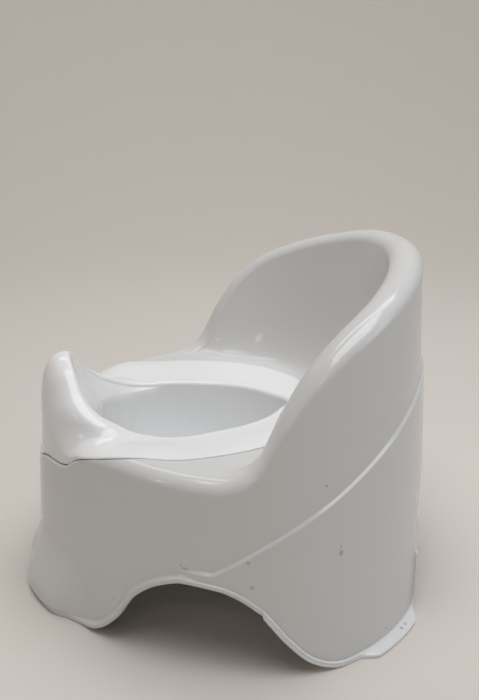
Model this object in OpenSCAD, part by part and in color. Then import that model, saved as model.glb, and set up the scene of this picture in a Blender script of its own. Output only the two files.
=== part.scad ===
// Potty training chair: one-piece shell with arms, backrest and arched feet,
// a lift-out potty with splash guard, two clip-on rear foot strips and two front pads.
// Frame: +X is the sitter's left, -Y is the front, +Z is up, the floor is z = 0.

/* [Overall] */

// half width of the foot outline at its widest
body_half_w = 173; // [130:1:210]
// half depth of the foot outline
body_half_d = 176; // [130:1:210]
// height of the back rim
back_h = 299; // [240:1:340]
// height of the seat plateau and of the side and front rim
seat_h = 158; // [130:1:180]
// inward lean of the outer wall per mm of height, at the sides
draft_side = 0.041; // [0:0.001:0.1]
// extra inward lean at the back
draft_back = 0.030; // [0:0.001:0.1]
// extra inward lean at the front
draft_front = 0.045; // [0:0.001:0.1]

/* [Shell] */

// wall thickness of the shell
wall_t = 2.8; // [2:0.1:5]
// width of the rolled rim
rim_w = 27; // [18:0.5:36]
// height of the rounding on the rim
rim_r = 12; // [6:0.5:16]
// height of the side arches between the feet
arch_side_h = 77; // [40:1:100]
// height of the front arch
arch_front_h = 10; // [5:1:60]
// height of the back arch
arch_back_h = 50; // [10:1:80]
// outward flare of the front feet
toe_out = 13; // [0:0.5:20]
// how far the back of the wall draws in near the floor
back_tuck = 3; // [0:0.5:8]
// width of the small lip along the bottom edge
lip_w = 3.5; // [1:0.5:6]
// height of the small lip along the bottom edge
lip_h = 3.6; // [2:0.1:8]
// step of the raised panel low on the sides and back
panel_step = 2.5; // [0:0.5:5]
// depth of the grip recess low on the back
grip_depth = 6; // [0:0.5:10]

/* [Potty] */

// height of the bowl floor above the ground
bowl_floor_z = 50; // [20:1:80]
// height of the splash guard above the seat
guard_h = 56; // [20:1:80]
// how far the inner face of the splash guard leans forward
guard_lean = 20; // [0:1:30]
// radius of the rounded edge of the opening
edge_r = 4; // [2:0.5:8]
// wall thickness of the potty
potty_t = 2.4; // [2:0.1:4]
// clearance between the potty and the shell
gap = 0.5; // [0.3:0.1:1.5]
// width of the hidden shelf that carries the potty
shelf_w = 8; // [4:0.5:14]

/* [Foot strips] */

// thickness of the strip under the lip
strip_t = 1.2; // [1:0.1:4]
// clearance between a strip and the shell
clip_gap = 0.15; // [0.1:0.05:0.5]
// reach of the heel tab outside each rear foot
heel_out = 8; // [0:0.5:12]

/* [Hidden] */

// moves everything so that the box of the whole chair is centred on Y
shift_y = 8.0;

// shape of the foot outline: narrower at the front than at the back
body_k = 0.14;
body_m = -0.17;

// axis and upper level of the bowl opening
bowl_y = -40;
bowl_z = seat_h - 3;

// heights of the rim above the seat against the angle round the body
rim_pts = [
  [-90, 0],
  [-58, 0],
  [-40, 3],
  [-28, 1.5],
  [-18, 0.8],
  [-10, 2.5],
  [-3, 14.5],
  [4, 50],
  [12, 79],
  [23, 101],
  [38, 117.5],
  [55, 130.5],
  [72, 139],
  [90, back_h - seat_h]
];

// height of the edge of the raised panel
panel_pts = [
  [-22, 72],
  [-15, 83],
  [0, 114],
  [15, 141],
  [31, 167],
  [50, 190],
  [66, 201],
  [90, 206]
];

// height of the bottom edge over the side and back arches, as a share of the arch height
side_arch_pts = [
  [-60, 0],
  [-50, 0.01],
  [-44, 0.1],
  [-38, 0.34],
  [-33, 0.66],
  [-26, 0.89],
  [-17, 1],
  [-8, 0.9],
  [-2, 0.72],
  [4, 0.41],
  [10, 0.16],
  [17, 0.02],
  [24, 0]
];
back_arch_pts = [
  [47, 0],
  [50, 0.06],
  [51.5, 0.26],
  [52.5, 0.52],
  [54, 0.79],
  [57, 0.94],
  [63, 1],
  [90, 1.05]
];

// share of the outward flare of the front feet
toe_pts = [
  [-90, 0.35],
  [-84, 0.8],
  [-79, 1],
  [-66, 1],
  [-61, 0.9],
  [-56, 0.4],
  [-50, 0]
];

// where the potty meets the shell, measured along the rim from the wall top
seam_pts = [
  [-90, -27],
  [-85, -23],
  [-79, -18],
  [-72, -14],
  [-62, -11.8],
  [-58, -9],
  [-54, -2.2],
  [-50, 2],
  [-44, 7.2],
  [-38, 13],
  [-32, 22],
  [-24, 37],
  [-15, 54],
  [-5, 68],
  [5, 75],
  [20, 79],
  [50, 82],
  [90, 87]
];

// height of the crease above the seam and the direction in which the guard meets it
crease_pts = [
  [-90, 36],
  [-80, 32],
  [-70, 22],
  [-62, 10],
  [-57, 4],
  [-52, 0.5],
  [-48, 0]
];
crease_tilt_pts = [
  [-90, 88],
  [-82, 87],
  [-70, 82],
  [-62, 72],
  [-55, 52],
  [-48, 28],
  [-38, 8],
  [-28, 0]
];

// radius of the opening and rise of its edge against the angle round the bowl's axis
opening_pts = [
  [-90, 96],
  [-75, 94],
  [-65, 93],
  [-58, 88.5],
  [-50, 79.5],
  [-40, 73],
  [-30, 68],
  [-15, 64.5],
  [0, 61.5],
  [20, 59.5],
  [45, 66],
  [62, 74],
  [76, 81],
  [90, 91]
];
guard_pts = [
  [-90, 1],
  [-78, 0.84],
  [-72, 0.69],
  [-67, 0.55],
  [-61, 0.4],
  [-55, 0.26],
  [-48, 0.15],
  [-40, 0.07],
  [-28, 0.02],
  [-15, 0]
];

// stations round the right half of the body, denser where the shape turns
half_turn = [
  -90, -86, -82, -78, -74, -70, -66, -62, -59, -56.5, -54, -52, -50, -47, -44, -41,
  -37.5, -34, -31, -27.5, -23, -18, -14, -9, -4, -1.5, 1, 5, 9, 14, 20, 24, 27, 29, 36, 43,
  48, 50.5, 52.5, 55, 62, 69, 76, 83, 90
];
turns = len(half_turn) * 2 - 2;
stations = [
  for (i = [0:turns - 1])
    i < len(half_turn) ? half_turn[i] : 180 - half_turn[turns - i]
];

function mix(a, b, t) = a + (b - a) * t;
function clamp(t) = min(1, max(0, t));
function smooth(t) = let (u = clamp(t)) u * u * (3 - 2 * u);
function bell(t, p) = 1 - smooth(pow(abs(t), p));
function fold(p) = p > 90 ? 180 - p : p;
function unit(v) = v / norm(v);

// smooth curve through a list of [x, y] points, level at both ends
function slope(P, i) =
  i <= 0 || i >= len(P) - 1 ? 0
  : (P[i + 1][1] - P[i - 1][1]) / (P[i + 1][0] - P[i - 1][0]);
function span(P, x, i = 0) = i >= len(P) - 2 || x < P[i + 1][0] ? i : span(P, x, i + 1);
function curve(P, x) =
  let (i = span(P, x))
  let (h = P[i + 1][0] - P[i][0])
  let (t = clamp((x - P[i][0]) / h))
  let (t2 = t * t)
  let (t3 = t2 * t)
  (2 * t3 - 3 * t2 + 1) * P[i][1] + (t3 - 2 * t2 + t) * h * slope(P, i)
  + (3 * t2 - 2 * t3) * P[i + 1][1] + (t3 - t2) * h * slope(P, i + 1);
function bezier(A, B, C, D, t) =
  let (v = 1 - t)
  v * v * v * A + 3 * v * v * t * B + 3 * v * t * t * C + t * t * t * D;

// egg-shaped foot outline and the unit vector that points out of it
function egg(p) =
  let (c = cos(p))
  let (s = sin(p))
  [body_half_w * c * (1 + body_k * s + body_m * s * s), body_half_d * s, 0];
function out_dir(p) =
  let (c = cos(p))
  let (s = sin(p))
  let (g = 1 + body_k * s + body_m * s * s)
  let (dx = body_half_w * (c * (body_k * c + 2 * body_m * s * c) - s * g))
  let (dy = body_half_d * c)
  abs(c) < 0.0001 ? [0, s > 0 ? 1 : -1, 0] : unit([dy, -dx, 0]);

// point at inward distance d from the foot outline and at height z
function at(p, d, z) = egg(p) - out_dir(p) * d + [0, shift_y, z];
function inward(p, v) = [0, 0, v[1]] - out_dir(p) * v[0];

// outer wall: inward distance at height z
function lean(p) =
  let (s = sin(fold(p)))
  draft_side + (s > 0 ? draft_back : draft_front) * s * s;
function front_out(p) = 80 * draft_front * pow(min(sin(fold(p)), 0), 2);
function toe(p, z) =
  let (under = 1 - sqrt(1 - pow(clamp(1 - z / 9), 2)))
  curve(toe_pts, fold(p)) * (toe_out * (1 - smooth((z - 12) / 48)) - 4 * under);
function tuck(p, z) =
  back_tuck * smooth((fold(p) - 50) / 12) * (1 - smooth((z - 45) / 75));
function wall_d(p, z) = lean(p) * z - front_out(p) - toe(p, z) + tuck(p, z);

// bottom edge with its arches, and the lip along it
function edge_z(p) =
  let (f = fold(p))
  max(
    0,
    arch_side_h * curve(side_arch_pts, f)
    - 2 * bell((f + 16) / 6, 1.3)
    + arch_front_h * bell((f + 90) / 12, 1.3)
    + arch_back_h * curve(back_arch_pts, f)
  );
function edge_tilt(p) =
  let (s = (edge_z(p + 0.5) - edge_z(p - 0.5)) / 3)
  min(sqrt(1 + s * s), 3);
function base_z(p) =
  edge_z(p) + mix(0.4, strip_t, smooth((fold(p) + 3.5) / 2)) * edge_tilt(p);
function lip_reach(p) = max(lip_w * smooth((fold(p) + 60) / 14), 0.4);
function lip_top(p) = edge_z(p) + (strip_t + lip_h) * edge_tilt(p);
function fillet_h(p) = 2.2 + 2.5 * bell((fold(p) + 12) / 9, 1.5);

// rim, and the raised panel and grip recess on the outer wall
function rim_z(p) = seat_h + curve(rim_pts, fold(p));
function wall_top(p) = rim_z(p) - rim_r;
function panel_z(p) = max(curve(panel_pts, fold(p)), lip_top(p) + fillet_h(p) + 2.6);
function panel_out(p, z) =
  panel_step * smooth((fold(p) + 21) / 5) * (1 - smooth((z - panel_z(p) + 1.3) / 2.6));
function grip(p, z) =
  let (u = (fold(p) - 90) / 22)
  let (v = (z - 152) / 34)
  grip_depth * (1 - smooth((sqrt(u * u + v * v) - 0.55) / 0.45));
function skin_d(p, z) = wall_d(p, z) - panel_out(p, z) + grip(p, z);

// seam between the potty and the shell: inward distance and height
function seam(p) = curve(seam_pts, fold(p));
function turn(p) = 90 * clamp(seam(p) / 21);
function roll_z(p) = wall_top(p) + min(seam(p), 0);
function roll_at(p, a) =
  [skin_d(p, roll_z(p)) + rim_w / 2 * (1 - cos(a)), roll_z(p) + rim_r * sin(a)];
function seam_dz(p) =
  let (s = seam(p))
  let (r = roll_at(p, turn(p)))
  s < 21 ? r : [r[0] + s - 21, mix(rim_z(p), seat_h, smooth((fold(p) + 32) / 8))];

// outer side of the shell in section, as [inward distance, height] pairs
function lip_path(p) =
  let (z = base_z(p))
  let (w = lip_reach(p))
  let (d = wall_d(p, z) - w)
  let (r = min(1.3, 0.4 * w))
  let (top = lip_top(p))
  let (end = top + fillet_h(p))
  [
    [d + r, z],
    [d, z + r],
    [d, top - r],
    [d + r, top],
    for (u = [0.35, 0.7, 1])
      [mix(d + r, skin_d(p, end), smooth(pow(u, 0.6))), mix(top, end, pow(u, 1.6))]
  ];
function skin_row(p, z) = [skin_d(p, z), z];
function wall_path(p) =
  let (z0 = lip_top(p) + fillet_h(p))
  let (z1 = panel_z(p))
  [
    for (i = [1:6]) skin_row(p, mix(z0, z1 - 1.5, pow(i / 6, 1.5))),
    for (u = [-0.6, 0, 0.6]) skin_row(p, z1 + u),
    for (i = [0:8]) skin_row(p, mix(z1 + 1.5, roll_z(p), i / 8))
  ];
function roll_path(p) =
  [for (u = [0.2, 0.4, 0.6, 0.8, 1]) roll_at(p, turn(p) * u) + [u * 0.05, 0]];

// from the crest of the rim down the inside of the arms and backrest to the seam
function inside_path(p) =
  let (s = seam_dz(p))
  let (h = seam(p) < 21 ? 0 : rim_z(p) - s[1])
  let (w = max(seam(p) - 21, 0) + 0.14)
  let (c = s[0] + 0.2 - w)
  let (e = h * rim_r / (h + rim_r))
  let (u = min(rim_w / 2, 0.32 * w))
  let (k = mix(0.25 * w, min(1, 0.25 * w), smooth(fold(p) / 90)))
  let (A = [c + u, s[1] + h - e])
  let (D = [c + w - k, s[1]])
  let (B = A + [0.07 * h, -0.55 * (A[1] - s[1])])
  let (C = [mix(D[0], A[0], 0.62), s[1]])
  [
    for (q = [30, 60, 90]) [c + u * sin(q), s[1] + h - e * (1 - cos(q))],
    for (i = [1:9]) bezier(A, B, C, D, i / 9),
    [c + w, s[1]]
  ];

// recess that the edge of the potty drops into, and the shelf below it
function recess_path(p) =
  let (s = seam_dz(p))
  let (q = turn(p))
  let (depth = mix(3.2, 2.9, q / 90))
  let (a = s + [0.12 + depth * cos(q) + 0.2 * sin(q), -0.05 - depth * sin(q)])
  let (b = a + mix(3, shelf_w, q / 90) * [sin(q), -cos(q)])
  let (o = s + [0.12 + 0.3 * depth * cos(q) + 0.13 * sin(q), -0.05 - 0.3 * depth * sin(q)])
  [o, a, mix(a, b, 0.5), b];

// unseen side of a section, from the shelf back to the bottom edge
function hidden_path(p) =
  let (s = seam_dz(p))
  let (q = turn(p))
  let (level = s[0] + wall_t * (cos(q) - sin(q)))
  let (I = inside_path(p))
  let (R = recess_path(p))
  let (flat = seam(p) < 21)
  let (drop = 6 * (1 - q / 90))
  let (zb = base_z(p))
  let (db = wall_d(p, zb) + wall_t)
  [
    [R[3][0], R[3][1] - 0.8 - 2 * sin(q)],
    [s[0] + wall_t * cos(q), s[1] - 4.2 * pow(cos(q), 2) - 6 * pow(sin(q), 2)],
    [level, s[1] - 5],
    for (i = [10, 8, 6, 4, 2])
      let (v = unit(I[i + 1] - I[i - 1]))
      let (o = I[i] + wall_t * [v[1], -v[0]])
      flat ? [level, s[1] - 5.12 + 0.01 * i] : [min(o[0], level), o[1]],
    for (u = [0.9, 0.45])
      let (a = q * u)
      roll_at(p, a) + wall_t * [cos(a), -sin(a)] - drop * [sin(a), cos(a)] - [0, 0.3 * (1 - u)],
    for (u = [1, 0.7, 0.4, 0.1])
      let (z = mix(lip_top(p), roll_z(p) - 7, u))
      [skin_d(p, z) + wall_t, z],
    [db, lip_top(p)],
    [db, zb]
  ];
function shell_section(p) =
  concat(lip_path(p), wall_path(p), roll_path(p), inside_path(p), recess_path(p), hidden_path(p));

// closed skin over a list of sections that all have the same number of points
function ring_faces(m, n) = [
  for (i = [0:m - 1])
    for (j = [0:n - 1])
      for (h = [0, 1])
        let (a = i * n + j)
        let (b = i * n + (j + 1) % n)
        let (c = ((i + 1) % m) * n + (j + 1) % n)
        let (d = ((i + 1) % m) * n + j)
        h == 0 ? [a, b, c] : [a, c, d]
];

shell_sections = [
  for (p = stations)
    [for (s = shell_section(p)) at(p, s[0], s[1])]
];

module chair_shell() {
  color("white")
    polyhedron(
      points = [for (s = shell_sections) for (v = s) v],
      faces = ring_faces(turns, len(shell_sections[0])),
      convexity = 8
    );
}

// potty: outline of the opening, drawn in by pull and then set out by grow
function open_turn(p) = p + 20 * cos(p);
function ring(t, pull) = (curve(opening_pts, fold(t)) - pull) * [cos(t), sin(t), 0];
function open_out(p, pull) =
  let (t = open_turn(p))
  let (v = ring(t + 0.5, pull) - ring(t - 0.5, pull))
  unit([v[1], -v[0], 0]);
function opening(p, pull, grow) =
  ring(open_turn(p), pull) + open_out(p, pull) * grow + [0, bowl_y + shift_y, 0];
function guard(p) = curve(guard_pts, open_turn(fold(p)));
function pull_in(p) = guard_lean * pow(guard(p), 0.6);

// edge of the potty at the seam, and the direction into the shell there
function proud(p) = mix(-2, 0.8, smooth(turn(p) / 40));
function flange_at(p) =
  let (s = seam_dz(p))
  let (q = turn(p))
  at(p, s[0], s[1])
  + inward(p, [gap * sin(q) - proud(p) * cos(q), gap * cos(q) + proud(p) * sin(q)]);
function deep(p) = inward(p, [cos(turn(p)), -sin(turn(p))]);

// bowl wall, rounded edge, guard or flange, crease and apron down to the seam
function top_path(p) =
  let (o = open_out(p, 0))
  let (g = guard(p))
  let (E = opening(p, 0, 0) + [0, 0, bowl_z + guard_h * g - edge_r])
  let (B = opening(p, pull_in(p), 0) + [0, 0, seat_h - 8])
  let (F = flange_at(p))
  let (along = inward(p, [sin(turn(p)), cos(turn(p))]))
  let (rise = curve(crease_pts, fold(p)))
  let (C = F + inward(p, [rise * lean(p), 0]) + along * (rise + 1.2))
  let (P0 = E + edge_r * (o + [0, 0, 1]))
  let (L = norm(C - P0))
  let (tilt = curve(crease_tilt_pts, fold(p)))
  let (P1 = P0 + o * (0.27 + 0.16 * bell((fold(p) + 58) / 18, 1.5)) * L)
  let (P2 = C + inward(p, [cos(tilt), sin(tilt)]) * mix(0.44, 0.66, g) * L)
  let (G = F + along * 0.6)
  [
    for (u = [0.33, 0.67]) mix(B, E, u),
    for (a = [0, 30, 60]) E + edge_r * (o * (1 - cos(a)) + [0, 0, sin(a)]),
    for (i = [0:11]) bezier(P0, P1, P2, C, i / 11),
    mix(C, G, 0.5),
    G,
    F + deep(p) * 0.6
  ];
function bowl_path(p, grow, floor_z, top_z) =
  let (c = [0, bowl_y + shift_y, 0])
  let (rim = opening(p, pull_in(p), grow) - c)
  [
    for (a = [84, 72, 60, 48, 36, 24, 12, 0])
      c + rim * pow(cos(a), 0.42) + [0, 0, top_z - (top_z - floor_z) * pow(sin(a), 0.85)]
  ];
function under_path(p) =
  let (P = top_path(p))
  let (e = deep(p))
  [
    flange_at(p) + e * potty_t,
    for (i = [16:-2:6])
      let (w = (i - 4) / 12)
      P[i] + potty_t * unit(mix([0, 0, -1], e, w * w))
  ];
function reversed(L) = [for (i = [len(L) - 1:-1:0]) L[i]];

potty_sections = [
  for (p = stations)
    let (a = bowl_path(p, 0, bowl_floor_z, seat_h - 8))
    let (b = reversed(bowl_path(p, potty_t, bowl_floor_z - potty_t, seat_h - 10)))
    concat(a, top_path(p), under_path(p), b)
];

// skin over sections whose two ends close on a point each
function cup_faces(m, n) = concat(
  [
    for (i = [0:m - 1])
      for (j = [0:n - 2])
        for (h = [0, 1])
          let (a = i * n + j)
          let (d = ((i + 1) % m) * n + j)
          h == 0 ? [a, d + 1, a + 1] : [a, d, d + 1]
  ],
  [for (i = [0:m - 1]) [m * n, ((i + 1) % m) * n, i * n]],
  [for (i = [0:m - 1]) [m * n + 1, i * n + n - 1, ((i + 1) % m) * n + n - 1]]
);

module inner_potty() {
  color("ghostwhite")
    polyhedron(
      points = concat(
        [for (s = potty_sections) for (v = s) v],
        [
          [0, bowl_y + shift_y, bowl_floor_z],
          [0, bowl_y + shift_y, bowl_floor_z - potty_t]
        ]
      ),
      faces = cup_faces(turns, len(potty_sections[0])),
      convexity = 8
    );
}

// rear strip: a channel round the lip with a bead outside it and a heel tab
function heel(p) = heel_out * smooth((p - 24) / 5) * (1 - smooth((p - 44) / 6.5));
function rear_section(p) =
  let (z = edge_z(p))
  let (t = edge_tilt(p))
  let (d = wall_d(p, base_z(p)))
  let (a = d - lip_reach(p) - clip_gap)
  let (b = d + wall_t + clip_gap)
  let (bead = min(smooth((p + 1.5) / 1.2) + 0.3, 1))
  let (h = heel(p))
  let (out = a - bead - h)
  let (seat = strip_t - clip_gap)
  let (top = strip_t + lip_h + 0.1)
  [
    [out + 0.6, z],
    [b + 1.3, z],
    [b + 1.3, z + (seat + 2.2) * t],
    [b, z + (seat + 2.2) * t],
    [b, z + seat * t],
    [a, z + seat * t],
    [a, z + top * t],
    [a - 0.7 * bead - 0.12 * h, z + (top - 0.6) * t],
    [mix(a - bead, out, 0.55), z + (top - 1.3) * t],
    [out, z + (top - 2.2) * t],
    [out, z + 0.6 * t]
  ];
rear_cap = [
  [1, 2, 3], [1, 3, 4], [1, 4, 5], [1, 5, 0], [0, 5, 10],
  [5, 9, 10], [5, 8, 9], [5, 7, 8], [5, 6, 7]
];

// front pad: sits behind the bottom edge of the front foot
function front_section(p) =
  let (d = wall_d(p, base_z(p)) + wall_t + clip_gap)
  [[d + 0.6, 0], [d + 3.9, 0], [d + 4.5, 0.6], [d + 4.5, 4], [d, 4], [d, 0.6]];
front_cap = [[0, 1, 2], [0, 2, 3], [0, 3, 4], [0, 4, 5]];

// skin over an open run of sections, closed by a cap at each end
module strip(sections, cap) {
  m = len(sections);
  n = len(sections[0]);
  sides = [
    for (i = [0:m - 2])
      for (j = [0:n - 1])
        for (h = [0, 1])
          let (a = i * n + j)
          let (b = i * n + (j + 1) % n)
          h == 0 ? [a, b + n, b] : [a, a + n, b + n]
  ];
  color("whitesmoke")
    polyhedron(
      points = [for (s = sections) for (v = s) v],
      faces = concat(
        sides,
        cap,
        [for (f = cap) [f[2], f[1], f[0]] + [1, 1, 1] * (m - 1) * n]
      ),
      convexity = 6
    );
}

front_sections = [
  for (p = half_turn)
    if (p >= -78 && p <= -50)
      [for (s = front_section(p)) at(p, s[0], s[1])]
];
rear_sections = [
  for (p = half_turn)
    if (p >= -1.5 && p <= 55)
      [for (s = rear_section(p)) at(p, s[0], s[1])]
];

module foot_strip_front_left() {
  strip(front_sections, front_cap);
}
module foot_strip_front_right() {
  mirror([1, 0, 0])
    strip(front_sections, front_cap);
}
module foot_strip_rear_left() {
  strip(rear_sections, rear_cap);
}
module foot_strip_rear_right() {
  mirror([1, 0, 0])
    strip(rear_sections, rear_cap);
}

chair_shell();
inner_potty();
foot_strip_front_left();
foot_strip_front_right();
foot_strip_rear_left();
foot_strip_rear_right();
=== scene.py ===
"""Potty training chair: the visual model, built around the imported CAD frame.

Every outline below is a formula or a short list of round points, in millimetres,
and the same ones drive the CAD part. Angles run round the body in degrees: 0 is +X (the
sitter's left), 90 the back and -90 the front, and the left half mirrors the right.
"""

import math

import bpy  # noqa: E402
import numpy as np  # noqa: E402
from mathutils import Matrix, Vector  # noqa: E402


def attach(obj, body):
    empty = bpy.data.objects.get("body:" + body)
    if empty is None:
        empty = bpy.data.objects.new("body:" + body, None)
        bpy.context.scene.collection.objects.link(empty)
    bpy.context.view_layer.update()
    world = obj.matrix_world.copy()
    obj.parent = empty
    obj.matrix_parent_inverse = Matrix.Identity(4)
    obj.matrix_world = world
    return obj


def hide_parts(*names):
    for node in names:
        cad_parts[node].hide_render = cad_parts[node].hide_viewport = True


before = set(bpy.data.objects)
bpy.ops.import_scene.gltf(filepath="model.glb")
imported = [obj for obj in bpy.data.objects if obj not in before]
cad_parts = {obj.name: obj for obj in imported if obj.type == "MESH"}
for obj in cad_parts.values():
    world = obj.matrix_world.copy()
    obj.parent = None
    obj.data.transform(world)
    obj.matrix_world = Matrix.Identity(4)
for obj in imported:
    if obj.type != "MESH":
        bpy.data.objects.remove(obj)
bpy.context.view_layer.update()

MM = 0.001

# ------------------------------------------------------------------ driving dimensions, mm
BODY_HALF_W, BODY_HALF_D = 173.0, 176.0
BODY_K, BODY_M = 0.14, -0.17  # how much the egg-shaped plan widens and squares off to the back
BACK_H, SEAT_H = 299.0, 158.0
DRAFT_SIDE, DRAFT_BACK, DRAFT_FRONT = 0.041, 0.030, 0.045
FRONT_PIVOT_H = 80.0
WALL_T = 2.8
RIM_W, RIM_R = 27.0, 12.0
ROLL_END = 21.0  # seam distance at which the rolled rim has reached its crest
ARCH_SIDE_H, ARCH_FRONT_H, ARCH_BACK_H = 77.0, 10.0, 50.0
TOE_OUT, TOE_UNDER, TOE_UNDER_H, BACK_TUCK = 12.95, 4.0, 9.0, 3.0
LIP_W, LIP_H = 3.4, 3.6
PANEL_STEP, PANEL_STEP_H = 2.5, 2.6
GRIP_DEPTH, GRIP_Z, GRIP_HALF_H, GRIP_HALF_ANGLE = 6.0, 152.0, 34.0, 22.0
BOWL_Y, BOWL_Z, BOWL_FLOOR_Z = -40.0, SEAT_H - 3, 50.0
GUARD_H, GUARD_LEAN = 56.0, 20.0
POTTY_T, GAP, THROAT_DROP = 2.4, 0.5, 8.0
EDGE_R = 4.0
SHELF_W, FRONT_SHELF_W = 8.0, 3.0
RECESS_DEPTH, FRONT_RECESS_DEPTH = 2.9, 3.2
STRIP_T, CLIP_GAP = 1.2, 0.15
HEEL_OUT, PAD_T, PAD_H = 8.0, 4.5, 4.0
SHIFT_Y = 8.0  # moves the body back, so that its bounding box is centred on the origin

# [angle, value] points, joined by smooth curves
RIM_RISE = [
    (-90, 0), (-58, 0), (-40, 3), (-28, 1.5), (-18, 0.8), (-10, 2.5), (-3, 14.5), (4, 50), (12, 79),
    (23, 101), (38, 117.5), (55, 130.5), (72, 139), (90, BACK_H - SEAT_H),
]
PANEL_LINE = [(-22, 72), (-15, 83), (0, 114), (15, 141), (31, 167), (50, 190), (66, 201), (90, 206)]
SIDE_ARCH = [
    (-60, 0), (-50, 0.01), (-44, 0.1), (-38, 0.34), (-33, 0.66), (-26, 0.89), (-17, 1),
    (-8, 0.9), (-2, 0.72), (4, 0.41), (10, 0.16), (17, 0.02), (24, 0),
]
BACK_ARCH = [(47, 0), (50, 0.06), (51.5, 0.26), (52.5, 0.52), (54, 0.79), (57, 0.94), (63, 1), (90, 1.05)]
TOE_SHARE = [(-90, 0.35), (-84, 0.8), (-79, 1), (-66, 1), (-61, 0.9), (-56, 0.4), (-50, 0)]
SEAM_LINE = [
    (-90, -27), (-85, -23), (-79, -18), (-72, -14), (-62, -11.8), (-58, -9), (-54, -2.2), (-50, 2),
    (-44, 7.2), (-38, 13), (-32, 22), (-24, 37), (-15, 54), (-5, 68), (5, 75), (20, 79), (50, 82), (90, 87),
]
CREASE_RISE = [(-90, 36), (-80, 32), (-70, 22), (-62, 10), (-57, 4), (-52, 0.5), (-48, 0)]
CREASE_TILT = [(-90, 88), (-82, 87), (-70, 82), (-62, 72), (-55, 52), (-48, 28), (-38, 8), (-28, 0)]
OPENING_R = [
    (-90, 96), (-75, 94), (-65, 93), (-58, 88.5), (-50, 79.5), (-40, 73), (-30, 68), (-15, 64.5),
    (0, 61.5), (20, 59.5), (45, 66), (62, 74), (76, 81), (90, 91),
]
GUARD_RISE = [
    (-90, 1), (-78, 0.84), (-72, 0.69), (-67, 0.55), (-61, 0.4), (-55, 0.26), (-48, 0.15),
    (-40, 0.07), (-28, 0.02), (-15, 0),
]


# ------------------------------------------------------------------ formulas shared with the CAD
def mix(a, b, t):
    return a + (b - a) * t


def smooth(t):
    u = np.clip(t, 0, 1)
    return u * u * (3 - 2 * u)


def bell(t, power):
    return 1 - smooth(np.abs(t) ** power)


def fold(p):
    return np.where(p > 90, 180 - p, p)


def sin(p):
    return np.sin(np.radians(p))


def cos(p):
    return np.cos(np.radians(p))


def curve(points, x):
    """Smooth curve through [x, y] points, level at both ends."""
    xs = np.array([a for a, _ in points], float)
    ys = np.array([b for _, b in points], float)
    slope = np.zeros(len(xs))
    slope[1:-1] = (ys[2:] - ys[:-2]) / (xs[2:] - xs[:-2])
    x = np.clip(x, xs[0], xs[-1])
    i = np.clip(np.searchsorted(xs, x, side="right") - 1, 0, len(xs) - 2)
    h = xs[i + 1] - xs[i]
    t = (x - xs[i]) / h
    t2, t3 = t * t, t * t * t
    return (
        (2 * t3 - 3 * t2 + 1) * ys[i]
        + (t3 - 2 * t2 + t) * h * slope[i]
        + (3 * t2 - 2 * t3) * ys[i + 1]
        + (t3 - t2) * h * slope[i + 1]
    )


def egg(p, a, b, k, m):
    """Points of an egg-shaped outline and its outward unit vectors, in plan."""
    c, s = cos(p), sin(p)
    g = 1 + k * s + m * s * s
    dx, dy = a * (c * (k * c + 2 * m * s * c) - s * g), b * c
    length = np.hypot(dx, dy)
    safe = np.where(length < 1e-6, 1, length)
    out = np.stack([dy / safe, -dx / safe], -1)
    tip = np.abs(c) < 1e-5
    out[tip] = np.stack([np.zeros_like(s), np.sign(s)], -1)[tip]
    return np.stack([a * c * g, b * s], -1), out


def at(p, d, z):
    """Points at inward distance d from the foot outline and height z."""
    xy, out = egg(p, BODY_HALF_W, BODY_HALF_D, BODY_K, BODY_M)
    plan = xy - out * d[..., None]
    return np.stack([plan[..., 0], plan[..., 1] + SHIFT_Y, z], -1)


def lean(p):
    """How far the wall draws in for each millimetre of height."""
    s = sin(fold(p))
    return DRAFT_SIDE + np.where(s > 0, DRAFT_BACK, DRAFT_FRONT) * s * s


def front_out(p):
    """The front wall leans about a line part of the way up, so its foot stands out a little."""
    return FRONT_PIVOT_H * DRAFT_FRONT * np.minimum(sin(fold(p)), 0) ** 2


def toe(p, z):
    """Outward flare of the front feet, tucked under at the floor."""
    under = 1 - np.sqrt(1 - np.clip(1 - z / TOE_UNDER_H, 0, 1) ** 2)
    return curve(TOE_SHARE, fold(p)) * (TOE_OUT * (1 - smooth((z - 12) / 48)) - TOE_UNDER * under)


def tuck(p, z):
    """The back of the wall draws in a little towards the floor."""
    return BACK_TUCK * smooth((fold(p) - 50) / 12) * (1 - smooth((z - 45) / 75))


def wall_d(p, z):
    """Inward distance of the plain outer wall, before the side panel and the grip."""
    return lean(p) * z - front_out(p) - toe(p, z) + tuck(p, z)


def edge_z(p):
    """Height of the bottom edge: feet on the floor, arches between them."""
    f = fold(p)
    rise = (
        ARCH_SIDE_H * curve(SIDE_ARCH, f)
        - 2 * bell((f + 16) / 6, 1.3)
        + ARCH_FRONT_H * bell((f + 90) / 12, 1.3)
        + ARCH_BACK_H * curve(BACK_ARCH, f)
    )
    return np.maximum(rise, 0)


def edge_tilt(p):
    """How much taller a band along the bottom edge is, measured upright, where the edge is steep."""
    slope = (edge_z(p + 0.5) - edge_z(p - 0.5)) / 3
    return np.minimum(np.sqrt(1 + slope * slope), 3)


def base_z(p):
    """Bottom of the shell: just off the floor in front, on the foot strip behind."""
    return edge_z(p) + mix(0.4, STRIP_T, smooth((fold(p) + 3.5) / 2)) * edge_tilt(p)


def lip_w(p):
    """How far the bead along the bottom edge stands out; it fades away in front."""
    return np.maximum(LIP_W * smooth((fold(p) + 60) / 14), 0.4)


def lip_top(p):
    return edge_z(p) + (STRIP_T + LIP_H) * edge_tilt(p)


def fillet_h(p):
    return 2.2 + 2.5 * bell((fold(p) + 12) / 9, 1.5)


def rim_z(p):
    return SEAT_H + curve(RIM_RISE, fold(p))


def wall_top(p):
    return rim_z(p) - RIM_R


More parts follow.
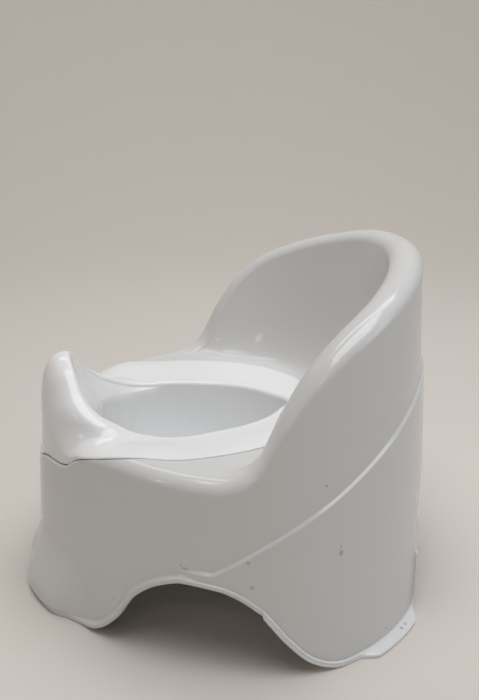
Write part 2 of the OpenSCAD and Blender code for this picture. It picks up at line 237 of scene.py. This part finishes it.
def panel_z(p):
    """Height of the crease along the top of the raised side and back panel."""
    return np.maximum(curve(PANEL_LINE, fold(p)), lip_top(p) + fillet_h(p) + PANEL_STEP_H)


def panel_out(p, z):
    above = z - panel_z(p) + PANEL_STEP_H / 2
    return PANEL_STEP * smooth((fold(p) + 21) / 5) * (1 - smooth(above / PANEL_STEP_H))


def grip(p, z):
    """Shallow oval finger recess in the outside of the back."""
    u, v = (fold(p) - 90) / GRIP_HALF_ANGLE, (z - GRIP_Z) / GRIP_HALF_H
    return GRIP_DEPTH * (1 - smooth((np.sqrt(u * u + v * v) - 0.55) / 0.45))


def skin_d(p, z):
    """Inward distance of the finished outer wall."""
    return wall_d(p, z) - panel_out(p, z) + grip(p, z)


def seam(p):
    """Where the potty meets the shell: below the rim's roll, round the roll, then inside its crest."""
    return curve(SEAM_LINE, fold(p))


def turn(p):
    """Angle round the rim's roll at which the seam lies, 0 at its outside and 90 at its crest."""
    return 90 * np.clip(seam(p) / ROLL_END, 0, 1)


def seam_dz(p):
    """Inward distance and height of the line where the potty meets the shell."""
    s, q, zt = seam(p), turn(p), wall_top(p)
    low, crest = skin_d(p, zt + np.minimum(s, 0)), RIM_W / 2 * (1 - cos(q))
    seat = mix(rim_z(p), SEAT_H, smooth((fold(p) + 32) / 8))
    z = np.where(s < ROLL_END, zt + np.minimum(s, 0) + RIM_R * sin(q), seat)
    return low + crest + np.maximum(s - ROLL_END, 0), z


def bezier(a, b, c, d, t):
    v = 1 - t
    return v ** 3 * a + 3 * v * v * t * b + 3 * v * t * t * c + t ** 3 * d


# ------------------------------------------------------------------ mesh helpers
def link(obj):
    bpy.context.scene.collection.objects.link(obj)
    return obj


def mesh_object(name, points, faces):
    mesh = bpy.data.meshes.new(name)
    mesh.from_pydata([tuple(v) for v in np.asarray(points) * MM], [], faces)
    mesh.validate()
    mesh.shade_smooth()
    return link(bpy.data.objects.new(name, mesh))


def grid_faces(m, n, wrap_m, wrap_n):
    """Quads over m sections of n points each."""
    i = np.arange(m if wrap_m else m - 1)[:, None]
    j = np.arange(n if wrap_n else n - 1)[None, :]
    i2, j2 = (i + 1) % m, (j + 1) % n
    quads = np.stack(np.broadcast_arrays(i * n + j, i * n + j2, i2 * n + j2, i2 * n + j), -1)
    return [tuple(q) for q in quads.reshape(-1, 4).tolist()]


def stations():
    """Angles round the whole body, closer where the seam and the arches turn sharply."""
    half = np.concatenate([
        np.arange(-90, -66, 1.0), np.arange(-66, -28, 0.5), np.arange(-28, 30, 0.75),
        np.arange(30, 48, 1.0), np.arange(48, 58, 0.4), np.arange(58, 90.01, 1.0),
    ])
    return np.concatenate([half, 180 - half[-2:0:-1]])


# ------------------------------------------------------------------ shell
def lip_path(p):
    """The small bead along the bottom edge, rounded outside and blended into the wall above."""
    z0, top, w = base_z(p), lip_top(p), lip_w(p)
    d0 = wall_d(p, z0)
    r = np.minimum(1.3, 0.4 * w)
    d, z = [d0 - w + r, d0 - w + 0.3 * r, d0 - w], [z0, z0 + 0.3 * r, z0 + r]
    for a in (0, 30, 60, 90):
        d.append(d0 - w + r * (1 - cos(a)))
        z.append(top - r + r * sin(a))
    end = top + fillet_h(p)
    for u in (0.2, 0.4, 0.6, 0.8, 1.0):
        d.append(mix(d0 - w + r, skin_d(p, end), smooth(u ** 0.6)))
        z.append(mix(top, end, u ** 1.6))
    return np.stack(d, -1), np.stack(z, -1)


def rows(p, values):
    """Points of the finished outer wall at the given heights."""
    z = np.stack(values, -1)
    return skin_d(p[:, None], z), z


def wall_path(p):
    """Up the outer wall, with close rows over the panel's step."""
    z0, z1 = lip_top(p) + fillet_h(p), panel_z(p)
    z2 = wall_top(p) + np.minimum(seam(p), 0)
    low = [mix(z0, z1 - 1.5, u ** 1.5) for u in np.linspace(0, 1, 25)[1:]]
    step = [z1 + PANEL_STEP_H * u for u in np.linspace(-0.5, 0.5, 10)]
    high = [mix(z1 + 1.5, z2, u) for u in np.linspace(0, 1, 25)]
    return rows(p, low + step + high)


def roll_path(p):
    """Round the rolled rim as far as the seam or the crest."""
    z0 = wall_top(p) + np.minimum(seam(p), 0)
    d0 = skin_d(p, z0)
    u = np.linspace(0, 1, 15)[1:]
    a = turn(p)[:, None] * u
    return d0[:, None] + RIM_W / 2 * (1 - cos(a)) + u * 0.05, z0[:, None] + RIM_R * sin(a)


def inside_path(p):
    """From the crest of the rim down the inside of arms and backrest to the seam."""
    sd, sz = seam_dz(p)
    h = np.where(seam(p) < ROLL_END, 0, rim_z(p) - sz)
    w = np.maximum(seam(p) - ROLL_END, 0) + 0.14
    c = sd + 0.2 - w
    e = h * RIM_R / (h + RIM_R)
    u = np.minimum(RIM_W / 2, 0.32 * w)
    a_d, a_z = c + u, sz + h - e
    d_d = c + w - mix(0.25 * w, np.minimum(1, 0.25 * w), smooth(fold(p) / 90))
    b_d, b_z = a_d + 0.07 * h, a_z - 0.55 * (a_z - sz)
    c_d = mix(d_d, a_d, 0.62)
    q = np.linspace(0, 90, 13)[1:]
    t = np.linspace(0, 1, 33)[1:]
    d = np.concatenate([
        c[:, None] + u[:, None] * sin(q),
        bezier(a_d[:, None], b_d[:, None], c_d[:, None], d_d[:, None], t),
        mix(d_d[:, None], (c + w)[:, None], np.linspace(0, 1, 5)[1:]),
    ], 1)
    z = np.concatenate([
        (sz + h)[:, None] - e[:, None] * (1 - cos(q)),
        bezier(a_z[:, None], b_z[:, None], sz[:, None], sz[:, None], t),
        np.repeat(sz[:, None], 4, 1),
    ], 1)
    return d, z


def recess_path(p):
    """The recess that the edge of the potty drops into, and the shelf below it."""
    sd, sz = seam_dz(p)
    q = turn(p)
    sd = sd + 0.12
    depth = mix(FRONT_RECESS_DEPTH, RECESS_DEPTH, q / 90)
    width = mix(FRONT_SHELF_W, SHELF_W, q / 90)
    d, z = [], []
    for u in (0.08, 0.3, 0.97):
        d.append(sd + u * depth * cos(q) + 0.1 * (1 + u) * sin(q))
        z.append(sz - u * depth * sin(q) - 0.05)
    ad, az = sd + depth * cos(q) + 0.2 * sin(q), sz - depth * sin(q) - 0.05
    for u in (0.1, 0.5, 1.0):
        d.append(ad + u * width * sin(q))
        z.append(az - u * width * cos(q))
    return np.stack(d, -1), np.stack(z, -1)


def hidden_path(p, inside, shelf):
    """The unseen side of a section, from the shelf back to the bottom edge."""
    sd, sz = seam_dz(p)
    q = turn(p)
    level = sd + WALL_T * (cos(q) - sin(q))
    d = [shelf[0][:, -1], sd + WALL_T * cos(q), level]
    z = [shelf[1][:, -1] - 0.8 - 2 * sin(q), sz - 4.2 * cos(q) ** 2 - 6 * sin(q) ** 2, sz - 5]
    flat = seam(p) < ROLL_END
    for k, i in enumerate(range(inside[0].shape[1] - 5, 2, -6)):
        vd, vz = inside[0][:, i + 3] - inside[0][:, i - 3], inside[1][:, i + 3] - inside[1][:, i - 3]
        length = np.hypot(vd, vz)
        d.append(np.where(flat, level, np.minimum(inside[0][:, i] + WALL_T * vz / length, level)))
        z.append(np.where(flat, sz - 5.02 - 0.02 * k, inside[1][:, i] - WALL_T * vd / length))
    z0 = wall_top(p) + np.minimum(seam(p), 0)
    d0 = skin_d(p, z0)
    for u in (0.9, 0.6, 0.3):
        a = q * u
        drop = 6 * (1 - q / 90)
        d.append(d0 + RIM_W / 2 * (1 - cos(a)) + WALL_T * cos(a) - drop * sin(a))
        z.append(z0 + RIM_R * sin(a) - WALL_T * sin(a) - drop * cos(a) + 0.3 * (u - 1))
    for u in (1, 0.8, 0.6, 0.4, 0.2, 0.04):
        zw = mix(lip_top(p), z0 - 7, u)
        d.append(skin_d(p, zw) + WALL_T)
        z.append(zw)
    zb = base_z(p)
    db = wall_d(p, zb) + WALL_T
    return np.column_stack(d + [db, db]), np.column_stack(z + [lip_top(p), zb])


def shell_sections(p):
    """Closed sections of the shell, one for each angle."""
    parts = [f(p) for f in (lip_path, wall_path, roll_path, inside_path, recess_path)]
    parts.append(hidden_path(p, parts[3], parts[4]))
    d = np.concatenate([a for a, _ in parts], 1)
    z = np.concatenate([b for _, b in parts], 1)
    return at(p[:, None], d, z)


def make_shell():
    p = stations()
    s = shell_sections(p)
    m, n = s.shape[:2]
    return mesh_object("shell_moulding", s.reshape(-1, 3), [f[::-1] for f in grid_faces(m, n, True, True)])


# ------------------------------------------------------------------ potty
def open_turn(p):
    """Angle of the opening's outline that faces angle p of the body."""
    return p + 20 * cos(p)


def ring(t, pull):
    """Outline of the opening, drawn in by pull, as offsets from the bowl's axis."""
    r = curve(OPENING_R, fold(t)) - pull
    return np.stack([r * cos(t), r * sin(t)], -1)


def opening(p, pull=0.0, grow=0.0):
    """Plan points on the opening's outline that face angle p, and its outward unit vectors."""
    t = open_turn(p)
    side = ring(t + 0.5, pull) - ring(t - 0.5, pull)
    out = np.stack([side[..., 1], -side[..., 0]], -1) / np.linalg.norm(side, axis=-1, keepdims=True)
    return ring(t, pull) + out * grow + np.array([0, BOWL_Y + SHIFT_Y]), out


def guard(p):
    """Share of the splash guard's full height, 1 in front and 0 along the flange."""
    return curve(GUARD_RISE, open_turn(fold(p)))


def pull_in(p):
    """How far the bowl's wall at seat level stands in from the guard's edge."""
    return GUARD_LEAN * guard(p) ** 0.6


def plan3(xy, z):
    """Plan points or vectors with a height added."""
    return np.concatenate([xy, np.broadcast_to(z, xy.shape[:-1])[..., None]], -1)


def inward(p, d, z):
    """Vectors that run d inward and z up."""
    _, out = egg(p, BODY_HALF_W, BODY_HALF_D, BODY_K, BODY_M)
    return plan3(-out * d[..., None], z)


def top_path(p):
    """Bowl wall, rounded opening edge, guard or flange, crease and apron down to the seam."""
    xy, out = opening(p)
    low, _ = opening(p, pull_in(p))
    share = guard(p)
    lip = plan3(xy, BOWL_Z + GUARD_H * share - EDGE_R)
    throat = plan3(low, SEAT_H - THROAT_DROP)
    out3, up = plan3(out, 0.0), np.array([0, 0, 1.0])
    wall = [throat + (lip - throat) * u for u in np.linspace(0, 1, 9)[1:-1]]
    edge = [lip + EDGE_R * (out3 * (1 - cos(a)) + up * sin(a)) for a in np.linspace(0, 90, 9)[:-1]]
    sd, sz = seam_dz(p)
    q = turn(p)
    proud = mix(-2, 0.8, smooth(q / 40))
    hem = at(p, sd, sz) + inward(p, GAP * sin(q) - proud * cos(q), GAP * cos(q) + proud * sin(q))
    along, deep = inward(p, sin(q), cos(q)), inward(p, cos(q), -sin(q))
    rise = curve(CREASE_RISE, fold(p))
    crease = hem + inward(p, rise * lean(p), 0.0) + along * (rise + 1.2)[:, None]
    crest = lip + EDGE_R * (out3 + up)
    span = np.linalg.norm(crease - crest, axis=1)[:, None]
    tilt = curve(CREASE_TILT, fold(p))
    leave = crest + out3 * (0.27 + 0.16 * bell((fold(p) + 58) / 18, 1.5))[:, None] * span
    meet = crease + inward(p, cos(tilt), sin(tilt)) * mix(0.44, 0.66, share)[:, None] * span
    t = np.linspace(0, 1, 41)[None, :, None]
    body = bezier(crest[:, None], leave[:, None], meet[:, None], crease[:, None], t)
    foot = hem + along * 0.6
    apron = [mix(crease, foot, u) for u in (0.02, 0.2, 0.5, 0.8, 1.0)]
    apron += [hem + along * 0.18 + deep * 0.18, hem + deep * 0.6]
    return np.concatenate([np.stack(wall + edge, 1), body, np.stack(apron, 1)], 1), hem, deep


def bowl_path(p, grow, floor_z, top_z, count):
    """Bowl wall from near its floor up to top_z, each layer the opening's outline drawn in."""
    xy, _ = opening(p, pull_in(p), grow)
    centre = np.array([0, BOWL_Y + SHIFT_Y])
    layers = []
    for a in np.linspace(84, 0, count):
        xya = centre + (xy - centre) * cos(a) ** 0.42
        layers.append(plan3(xya, top_z - (top_z - floor_z) * sin(a) ** 0.85))
    return np.stack(layers, 1)


def under_path(top, hem, deep):
    """The underside of the apron and flange, one thickness in from the top."""
    n = top.shape[1]
    layers = [hem + deep * POTTY_T]
    for i in range(n - 9, 18, -4):
        w = (i - 15) / (n - 15)
        v = mix(np.array([0, 0, -1.0]), deep, w * w)
        layers.append(top[:, i] + POTTY_T * v / np.linalg.norm(v, axis=1, keepdims=True))
    return np.stack(layers, 1)


def make_potty():
    p = stations()
    top, hem, deep = top_path(p)
    bowl = bowl_path(p, 0, BOWL_FLOOR_Z, SEAT_H - THROAT_DROP, 40)
    below = bowl_path(p, POTTY_T, BOWL_FLOOR_Z - POTTY_T, SEAT_H - THROAT_DROP - 2, 20)[:, ::-1]
    s = np.concatenate([bowl, top, under_path(top, hem, deep), below], 1)
    m, n = s.shape[:2]
    faces = grid_faces(m, n, True, False)
    centre = np.array([[0, BOWL_Y + SHIFT_Y, BOWL_FLOOR_Z], [0, BOWL_Y + SHIFT_Y, BOWL_FLOOR_Z - POTTY_T]])
    for i in range(m):
        k = (i + 1) % m
        faces += [(m * n, i * n, k * n), (m * n + 1, k * n + n - 1, i * n + n - 1)]
    return mesh_object("potty_moulding", np.concatenate([s.reshape(-1, 3), centre]), faces)


# ------------------------------------------------------------------ foot strips
def heel(p):
    """How far the tab at the heel stands out."""
    return HEEL_OUT * smooth((p - 24) / 5) * (1 - smooth((p - 44) / 6.5))


def rear_section(p):
    """Channel that wraps the lip, a bead outside it and the heel tab."""
    z, t = edge_z(p), edge_tilt(p)
    d = wall_d(p, base_z(p))
    a, b = d - lip_w(p) - CLIP_GAP, d + WALL_T + CLIP_GAP
    end = np.minimum(smooth((p + 1.5) / 1.2) + 0.3, 1)
    h = heel(p)
    seat, top = STRIP_T - CLIP_GAP, STRIP_T + LIP_H + 0.1
    out = a - end - h
    shape = [
        (out + 0.9, 0), (b + 0.9, 0), (b + 1.3, 0.4), (b + 1.3, seat + 2), (b, seat + 2.2), (b, seat),
        (a, seat), (a, top), (a - 0.3 * end, top - 0.1), (a - 0.7 * end - 0.12 * h, top - 0.6),
        (mix(a - end, out, 0.55), top - 1.3), (out + 0.5, top - 1.6), (out + 0.12, top - 2), (out, top - 2.6),
        (out, 1.2), (out + 0.3, 0.4),
    ]
    return at(p[:, None], np.stack([x for x, _ in shape], -1), np.stack([z + y * t for _, y in shape], -1))


def front_section(p):
    """Pad behind the bottom edge of the front foot."""
    d = wall_d(p, base_z(p)) + WALL_T + CLIP_GAP
    cut = 0.6
    shape = [
        (cut, 0), (PAD_T - cut, 0), (PAD_T, cut), (PAD_T, PAD_H - cut), (PAD_T - cut, PAD_H),
        (0, PAD_H), (0, cut),
    ]
    z = np.zeros_like(p)
    return at(p[:, None], np.stack([d + x for x, _ in shape], -1), np.stack([z + y for _, y in shape], -1))


def make_strip(name, sections, side):
    """A capped sweep of sections, mirrored to the other side when side is -1."""
    m, n = sections.shape[:2]
    s = sections * np.array([side, 1, 1])
    faces = [f[::-1] for f in grid_faces(m, n, False, True)]
    faces += [tuple(range(n)), tuple((m - 1) * n + j for j in range(n - 1, -1, -1))]
    if side < 0:
        faces = [f[::-1] for f in faces]
    return mesh_object(name, s.reshape(-1, 3), faces)


# ------------------------------------------------------------------ materials
class Nodes:
    """Short names for building a node material."""

    def __init__(self, name):
        self.mat = bpy.data.materials.new(name)
        self.mat.use_nodes = True
        self.tree = self.mat.node_tree
        self.shader = self.tree.nodes["Principled BSDF"]

    def add(self, kind, **values):
        node = self.tree.nodes.new(kind)
        for key, value in values.items():
            if hasattr(node, key):
                setattr(node, key, value)
            else:
                node.inputs[key].default_value = value
        return node

    def link(self, a, b):
        self.tree.links.new(a, b)


def plastic(name, base, shade, rough):
    """Glossy moulded plastic: slight cloudy tone, uneven gloss and a faint mould texture."""
    n = Nodes(name)
    coords = n.add("ShaderNodeTexCoord")
    cloud = n.add("ShaderNodeTexNoise", Scale=9.0, Detail=3.0, Roughness=0.5)
    n.link(coords.outputs["Object"], cloud.inputs["Vector"])
    tone = n.add("ShaderNodeMix", data_type="RGBA")
    tone.inputs[6].default_value = (*base, 1)
    tone.inputs[7].default_value = (*shade, 1)
    n.link(cloud.outputs["Fac"], tone.inputs[0])
    n.link(tone.outputs[2], n.shader.inputs["Base Color"])
    wear = n.add("ShaderNodeTexNoise", Scale=45.0, Detail=5.0, Roughness=0.6)
    n.link(coords.outputs["Object"], wear.inputs["Vector"])
    gloss = n.add("ShaderNodeMapRange")
    gloss.inputs["From Min"].default_value = 0.3
    gloss.inputs["From Max"].default_value = 0.75
    gloss.inputs["To Min"].default_value = rough
    gloss.inputs["To Max"].default_value = rough + 0.03
    n.link(wear.outputs["Fac"], gloss.inputs["Value"])
    n.link(gloss.outputs["Result"], n.shader.inputs["Roughness"])
    grain = n.add("ShaderNodeTexNoise", Scale=420.0, Detail=2.0)
    n.link(coords.outputs["Object"], grain.inputs["Vector"])
    bump = n.add("ShaderNodeBump", Strength=0.05, Distance=0.0004)
    n.link(grain.outputs["Fac"], bump.inputs["Height"])
    n.link(bump.outputs["Normal"], n.shader.inputs["Normal"])
    n.shader.inputs["IOR"].default_value = 1.49
    return n


def wall_point(angle, height, out):
    """A point on the outer wall, or out millimetres outside it."""
    p, z = np.array([float(angle)]), np.array([float(height)])
    return at(p, skin_d(p, z) - out, z)[0]


def add_marks(n, marks):
    """Faint scuffs and specks: (angle, height, out, half width, half height, darkness)."""
    coords = n.add("ShaderNodeTexCoord")
    ragged = n.add("ShaderNodeTexNoise", Scale=260.0, Detail=3.0)
    n.link(coords.outputs["Object"], ragged.inputs["Vector"])
    total = None
    for angle, height, out, half_w, half_h, depth in marks:
        offset = n.add("ShaderNodeVectorMath", operation="SUBTRACT")
        n.link(coords.outputs["Object"], offset.inputs[0])
        offset.inputs[1].default_value = [v * MM for v in wall_point(angle, height, out)]
        scaled = n.add("ShaderNodeVectorMath", operation="DIVIDE")
        n.link(offset.outputs[0], scaled.inputs[0])
        scaled.inputs[1].default_value = (half_w * MM, half_w * MM, half_h * MM)
        length = n.add("ShaderNodeVectorMath", operation="LENGTH")
        n.link(scaled.outputs[0], length.inputs[0])
        rough_edge = n.add("ShaderNodeMath", operation="ADD")
        n.link(length.outputs["Value"], rough_edge.inputs[0])
        n.link(ragged.outputs["Fac"], rough_edge.inputs[1])
        fade = n.add("ShaderNodeMapRange")
        for key, value in (("From Min", 1.1), ("From Max", 1.5), ("To Min", depth), ("To Max", 0.0)):
            fade.inputs[key].default_value = value
        n.link(rough_edge.outputs[0], fade.inputs["Value"])
        if total is None:
            total = fade.outputs["Result"]
        else:
            both = n.add("ShaderNodeMath", operation="MAXIMUM")
            n.link(total, both.inputs[0])
            n.link(fade.outputs["Result"], both.inputs[1])
            total = both.outputs[0]
    base = n.shader.inputs["Base Color"]
    tone = base.links[0].from_socket
    dirt = n.add("ShaderNodeMix", data_type="RGBA")
    dirt.inputs[7].default_value = (0.16, 0.135, 0.11, 1)
    n.link(total, dirt.inputs[0])
    n.link(tone, dirt.inputs[6])
    n.link(dirt.outputs[2], base)


# ------------------------------------------------------------------ build
shell = make_shell()
potty = make_potty()
front_foot = front_section(np.arange(-78, -49.9, 0.5))
rear_foot = rear_section(np.concatenate([np.arange(-1.5, 48, 0.5), np.arange(48, 55.1, 0.3)]))
strips = {
    "foot_strip_front_left": make_strip("strip_front_left", front_foot, 1),
    "foot_strip_front_right": make_strip("strip_front_right", front_foot, -1),
    "foot_strip_rear_left": make_strip("strip_rear_left", rear_foot, 1),
    "foot_strip_rear_right": make_strip("strip_rear_right", rear_foot, -1),
}
white = plastic("shell_plastic", (0.73, 0.73, 0.73), (0.71, 0.708, 0.705), 0.12)
cool_white = plastic("potty_plastic", (0.90, 0.905, 0.91), (0.88, 0.89, 0.90), 0.13)
soft_white = plastic("strip_elastomer", (0.86, 0.87, 0.89), (0.83, 0.84, 0.86), 0.22)
add_marks(white, [
    (18, 100, 0, 2, 4, 0.4),
    (18, 105, 0, 1, 2, 0.3),
    (-20, 87, 0, 3, 1, 0.4),
    (-21, 89, 0, 1, 2, 0.3),
    (-5, 100, 0, 2, 2, 0.3),
    (-4, 80, 0, 2, 2, 0.3),
    (14, 155, 0, 1, 1, 0.7),
    (35, 11, 0, 1, 1, 0.7),
    (-40, 40, 0, 1, 1, 0.3),
])
add_marks(soft_white, [
    (40, 4, 5, 1.5, 1.5, 0.5),
    (42, 4, 5, 2, 1, 0.3),
    (30, 3, 4, 3, 1, 0.3),
])
shell.data.materials.append(white.mat)
potty.data.materials.append(cool_white.mat)
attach(shell, "chair")
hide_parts("chair_shell")
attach(potty, "potty")
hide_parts("inner_potty")
for node, strip in strips.items():
    strip.data.materials.append(soft_white.mat)
    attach(strip, "chair")
    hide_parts(node)


# ------------------------------------------------------------------ stage, light and camera
def make_stage():
    """A pale floor that curves up into a backdrop all round."""
    floor_r, bend_r, wall_h = 1.4, 1.8, 3.6
    bend = np.linspace(0.0, math.pi / 2, 16)[1:]
    flat = np.linspace(0.3, floor_r, 8)
    radii = np.concatenate([flat, floor_r + bend_r * np.sin(bend), [floor_r + bend_r]])
    heights = np.concatenate([np.zeros_like(flat), bend_r * (1 - np.cos(bend)), [wall_h]])
    around = np.radians(np.arange(0, 360, 5))
    rings = [
        np.stack([r * np.cos(around), r * np.sin(around), np.full_like(around, h)], -1)
        for r, h in zip(radii, heights)
    ]
    s = np.stack(rings, 1) / MM
    m, n = s.shape[:2]
    faces = grid_faces(m, n, True, False) + [tuple(i * n for i in range(m))]
    stage = mesh_object("studio_floor", s.reshape(-1, 3), faces)
    paper = Nodes("studio_paper")
    paper.shader.inputs["Base Color"].default_value = (0.76, 0.715, 0.67, 1)
    paper.shader.inputs["Roughness"].default_value = 0.9
    stage.data.materials.append(paper.mat)


def area_light(name, place, target, size, power, colour):
    data = bpy.data.lights.new(name, "AREA")
    data.shape = "RECTANGLE"
    data.size, data.size_y = size
    data.energy = power
    data.color = colour
    lamp = link(bpy.data.objects.new(name, data))
    lamp.location = place
    lamp.rotation_euler = (Vector(target) - Vector(place)).to_track_quat("-Z", "Y").to_euler()
    return lamp


def make_camera():
    """A camera near the chair, turned round from the front and looking a little down."""
    azimuth, elevation, roll = math.radians(80.9), math.radians(21.3), math.radians(-0.36)
    distance, target = 0.667, Vector((0, SHIFT_Y * MM, 0.165))
    back = Vector((
        math.sin(azimuth) * math.cos(elevation),
        -math.cos(azimuth) * math.cos(elevation),
        math.sin(elevation),
    ))
    flat = Vector((math.cos(azimuth), math.sin(azimuth), 0))
    up = back.cross(flat)
    right = math.cos(roll) * flat + math.sin(roll) * up
    up = back.cross(right)
    data = bpy.data.cameras.new("camera")
    data.sensor_width = 36
    data.lens = 38.6
    data.shift_x, data.shift_y = 0.013, 0.060
    cam = link(bpy.data.objects.new("camera", data))
    place = target + back * distance
    cam.matrix_world = Matrix((
        (right.x, up.x, back.x, place.x),
        (right.y, up.y, back.y, place.y),
        (right.z, up.z, back.z, place.z),
        (0, 0, 0, 1),
    ))
    bpy.context.scene.camera = cam


make_stage()
make_camera()
centre = (0, 0, 0.15)
area_light("overhead", (0.35, 0.1, 1.7), centre, (1.5, 1.1), 18, (0.98, 0.99, 1))
area_light("ceiling_lamp", (1.0, -0.35, 0.95), centre, (0.3, 0.05), 0.5, (1, 0.9, 0.78))
area_light("left_lamp", (0.65, -1.2, 0.75), centre, (0.05, 0.25), 0.35, (1, 0.92, 0.84))
area_light("back_fill", (0.7, 1.5, 0.7), centre, (0.8, 0.8), 3.0, (0.8, 0.9, 1))
area_light("backdrop_wash", (-0.9, 0.1, 2.3), (-2.4, 0.3, 0.6), (2.4, 1.0), 24, (1, 1, 1))
world = bpy.data.worlds.new("studio")
world.use_nodes = True
world.node_tree.nodes["Background"].inputs["Color"].default_value = (1, 1, 1, 1)
world.node_tree.nodes["Background"].inputs["Strength"].default_value = 0.02
bpy.context.scene.world = world
bpy.context.scene.view_settings.view_transform = "Standard"
